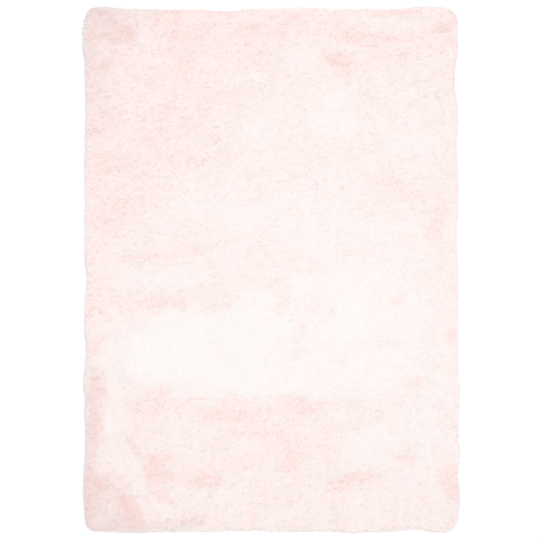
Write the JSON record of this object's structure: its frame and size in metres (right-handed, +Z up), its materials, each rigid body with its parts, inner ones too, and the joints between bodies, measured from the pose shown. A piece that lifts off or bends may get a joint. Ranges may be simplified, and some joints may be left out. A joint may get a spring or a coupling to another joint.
{
  "type": "plush shag rug",
  "caption": "Rectangular deep-pile plush rug with softly rounded corners, a wavy splayed edge and brushed tracks in its pile, lying flat.",
  "frame": {"origin": "on the floor, under the middle of the rug's outline", "axes": "+Z up out of the pile, +Y along the rug's length, +X across it"},
  "size_m": [1.5406, 2.1464, 0.0357],
  "materials": {
    "pile": "soft matt plush of fine crimped yarn, pale blush pink, near white where it lies smooth",
    "ground_cloth": "plain woven cotton backing, off white, with a thin matt coating"
  },
  "bodies": {
    "root": {"rug": "pile"}
  },
  "joints": []
}
